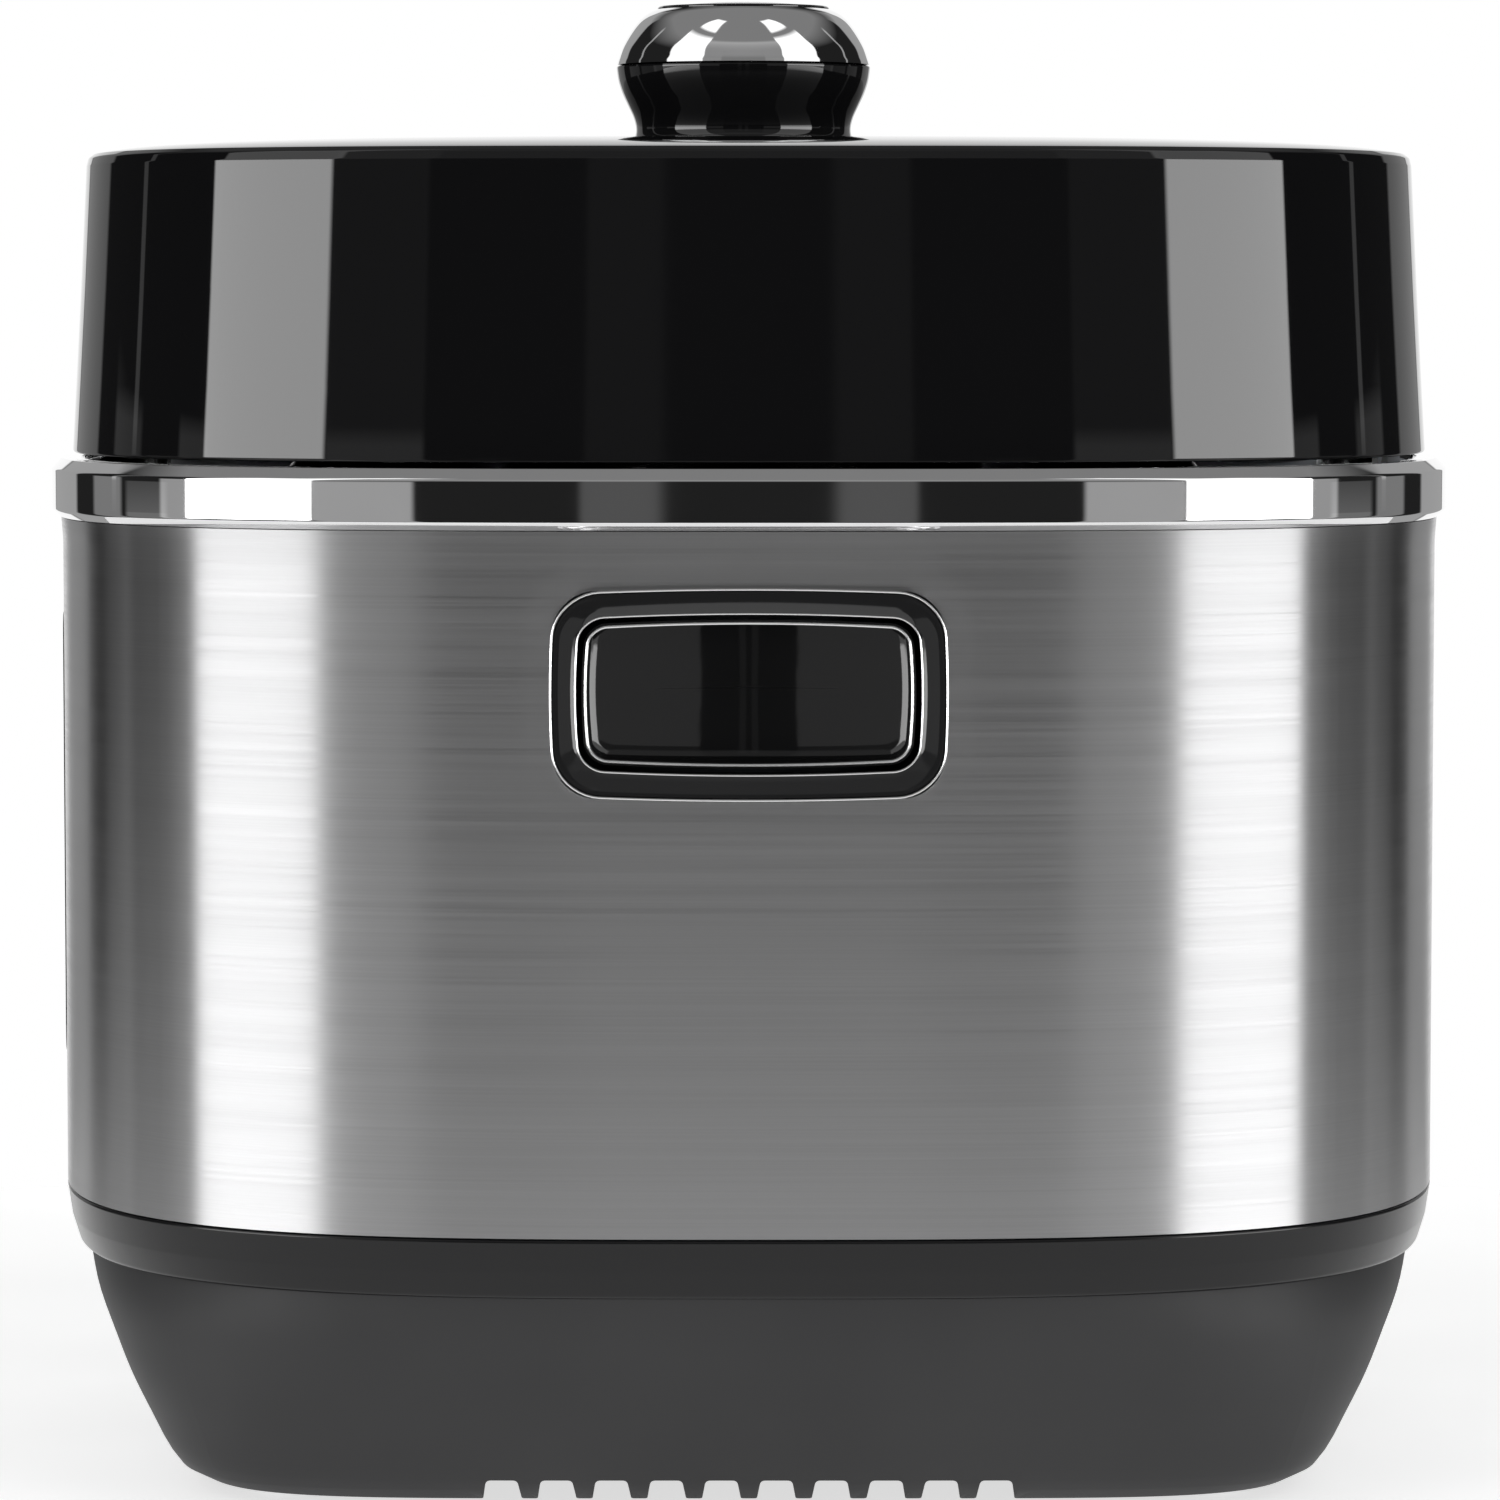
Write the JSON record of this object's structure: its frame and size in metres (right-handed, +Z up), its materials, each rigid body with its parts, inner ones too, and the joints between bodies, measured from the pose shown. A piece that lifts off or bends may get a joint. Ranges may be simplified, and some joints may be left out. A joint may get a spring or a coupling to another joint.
{
  "type": "electric pressure cooker",
  "caption": "Electric pressure cooker: square brushed-steel body, hinged gloss-black lid with a turning lock knob, recessed side grips.",
  "frame": {"origin": "on the floor, under the middle of the square body", "axes": "+Z up, control panel towards -Y, lid hinge towards +Y, carrying recesses on the +X and -X sides"},
  "size_m": [0.3066, 0.3071, 0.32],
  "materials": {
    "base_plastic": "fine satin grain",
    "black_plastic": "satin",
    "foot_rubber": "matt",
    "screw_steel": "zinc plated",
    "zinc_steel": "pressed sheet",
    "brushed_steel": "fine level brushing",
    "ring_chrome": "polished",
    "gloss_black": "piano black",
    "window": "smoked, polished",
    "board_green": "solder mask",
    "display_plastic": "satin",
    "key_plastic": "satin gloss",
    "cast_aluminium": "machined",
    "element_steel": "heat tinted",
    "fuse_body": "ceramic",
    "spring_steel": "drawn wire",
    "inlet_plastic": "satin",
    "brass_pins": "plated",
    "pot_coating": "non-stick coating",
    "polished_steel": "polished",
    "bush_plastic": "natural nylon",
    "silicone": "matt",
    "button_metal": "satin metallised",
    "valve_red": "satin",
    "valve_metal": "turned"
  },
  "bodies": {
    "housing": {"base_housing": "base_plastic", "bottom_plate": "black_plastic", "rubber_feet": "foot_rubber", "bottom_screws": "screw_steel", "chassis_plate": "zinc_steel", "steel_shell": "brushed_steel", "chrome_ring": "ring_chrome", "deck_plate": "black_plastic", "handle_bezel_right": "gloss_black", "handle_bezel_left": "gloss_black", "handle_trim_right": "ring_chrome", "handle_trim_left": "ring_chrome", "handle_cup_right": "gloss_black", "handle_cup_left": "gloss_black", "control_panel": "gloss_black", "display_window": "window", "display_module": "display_plastic", "control_board": "board_green", "outer_pot": "zinc_steel", "heat_shield": "zinc_steel", "heating_plate": "cast_aluminium", "heating_element": "element_steel", "thermal_fuse": "fuse_body", "sensor_spring": "spring_steel", "power_board": "board_green", "mains_inlet": "inlet_plastic", "inlet_pins": "brass_pins", "inlet_screws": "screw_steel", "cup_holder": "black_plastic", "inner_pot": "pot_coating", "hinge_bracket": "zinc_steel", "hinge_pin": "screw_steel"},
    "lid": {"hinge_arm": "zinc_steel", "lid_cover": "gloss_black", "lid_liner": "polished_steel", "lid_frame": "zinc_steel", "lid_screws": "screw_steel", "vent_well": "black_plastic", "knob_bush": "bush_plastic"},
    "lock_rotor": {"knob_grip": "gloss_black", "knob_cap": "ring_chrome", "knob_shaft": "spring_steel", "pressure_lid": "polished_steel", "sealing_ring": "silicone", "inner_shield": "polished_steel", "shaft_circlip": "screw_steel", "release_spring": "spring_steel"},
    "release": {"release_button": "button_metal", "push_rod": "spring_steel"},
    "float": {"float_valve": "valve_red"},
    "limit_weight": {"limiting_valve": "valve_metal"},
    "vent_cap": {"steam_vent_cap": "gloss_black"},
    "cup": {"condensate_cup": "black_plastic"},
    "sensor": {"thermostat_sensor": "cast_aluminium"},
    "start_key": {"start_button": "key_plastic"},
    "cancel_key": {"cancel_button": "key_plastic"},
    "menu_key": {"menu_button": "key_plastic"},
    "timer_key": {"timer_button": "key_plastic"},
    "pressure_key": {"pressure_button": "key_plastic"},
    "warm_key": {"warm_button": "key_plastic"}
  },
  "joints": [
    {"name": "lid_hinge", "type": "hinge", "parent": "housing", "child": "lid", "pos_m": [0, 0.1483, 0.212], "axis": [-1, 0, 0], "range_deg": [0, 82]},
    {"name": "lock_turn", "type": "hinge", "parent": "lid", "child": "lock_rotor", "pos_m": [0, -0.00125, 0.21], "axis": [0, 0, -1], "range_deg": [0, 30]},
    {"name": "release_push", "type": "slide", "parent": "lock_rotor", "child": "release", "axis": [0, 0, -1], "range_m": [0, 0.003], "stiffness_N_per_m": 1000, "springref_m": -0.004, "deforming": ["release_spring"]},
    {"name": "float_rise", "type": "slide", "parent": "lock_rotor", "child": "float", "axis": [0, 0, 1], "range_m": [0, 0.004]},
    {"name": "limit_lift", "type": "slide", "parent": "lock_rotor", "child": "limit_weight", "axis": [0, 0, 1], "range_m": [0, 0.003]},
    {"name": "vent_cap_lift", "type": "slide", "parent": "lid", "child": "vent_cap", "axis": [0, 0, 1], "range_m": [0, 0.02]},
    {"name": "cup_pull", "type": "slide", "parent": "housing", "child": "cup", "axis": [0, 1, 0], "range_m": [0, 0.03]},
    {"name": "sensor_press", "type": "slide", "parent": "housing", "child": "sensor", "axis": [0, 0, -1], "range_m": [0, 0.002], "stiffness_N_per_m": 800, "springref_m": -0.003, "deforming": ["sensor_spring"]},
    {"name": "start_press", "type": "slide", "parent": "housing", "child": "start_key", "axis": [0, 1, 0], "range_m": [0, 0.0008], "stiffness_N_per_m": 1500, "springref_m": -0.0004},
    {"name": "cancel_press", "type": "slide", "parent": "housing", "child": "cancel_key", "axis": [0, 1, 0], "range_m": [0, 0.0008], "stiffness_N_per_m": 1500, "springref_m": -0.0004},
    {"name": "menu_press", "type": "slide", "parent": "housing", "child": "menu_key", "axis": [0, 1, 0], "range_m": [0, 0.0008], "stiffness_N_per_m": 1500, "springref_m": -0.0004},
    {"name": "timer_press", "type": "slide", "parent": "housing", "child": "timer_key", "axis": [0, 1, 0], "range_m": [0, 0.0008], "stiffness_N_per_m": 1500, "springref_m": -0.0004},
    {"name": "pressure_press", "type": "slide", "parent": "housing", "child": "pressure_key", "axis": [0, 1, 0], "range_m": [0, 0.0008], "stiffness_N_per_m": 1500, "springref_m": -0.0004},
    {"name": "warm_press", "type": "slide", "parent": "housing", "child": "warm_key", "axis": [0, 1, 0], "range_m": [0, 0.0008], "stiffness_N_per_m": 1500, "springref_m": -0.0004}
  ]
}
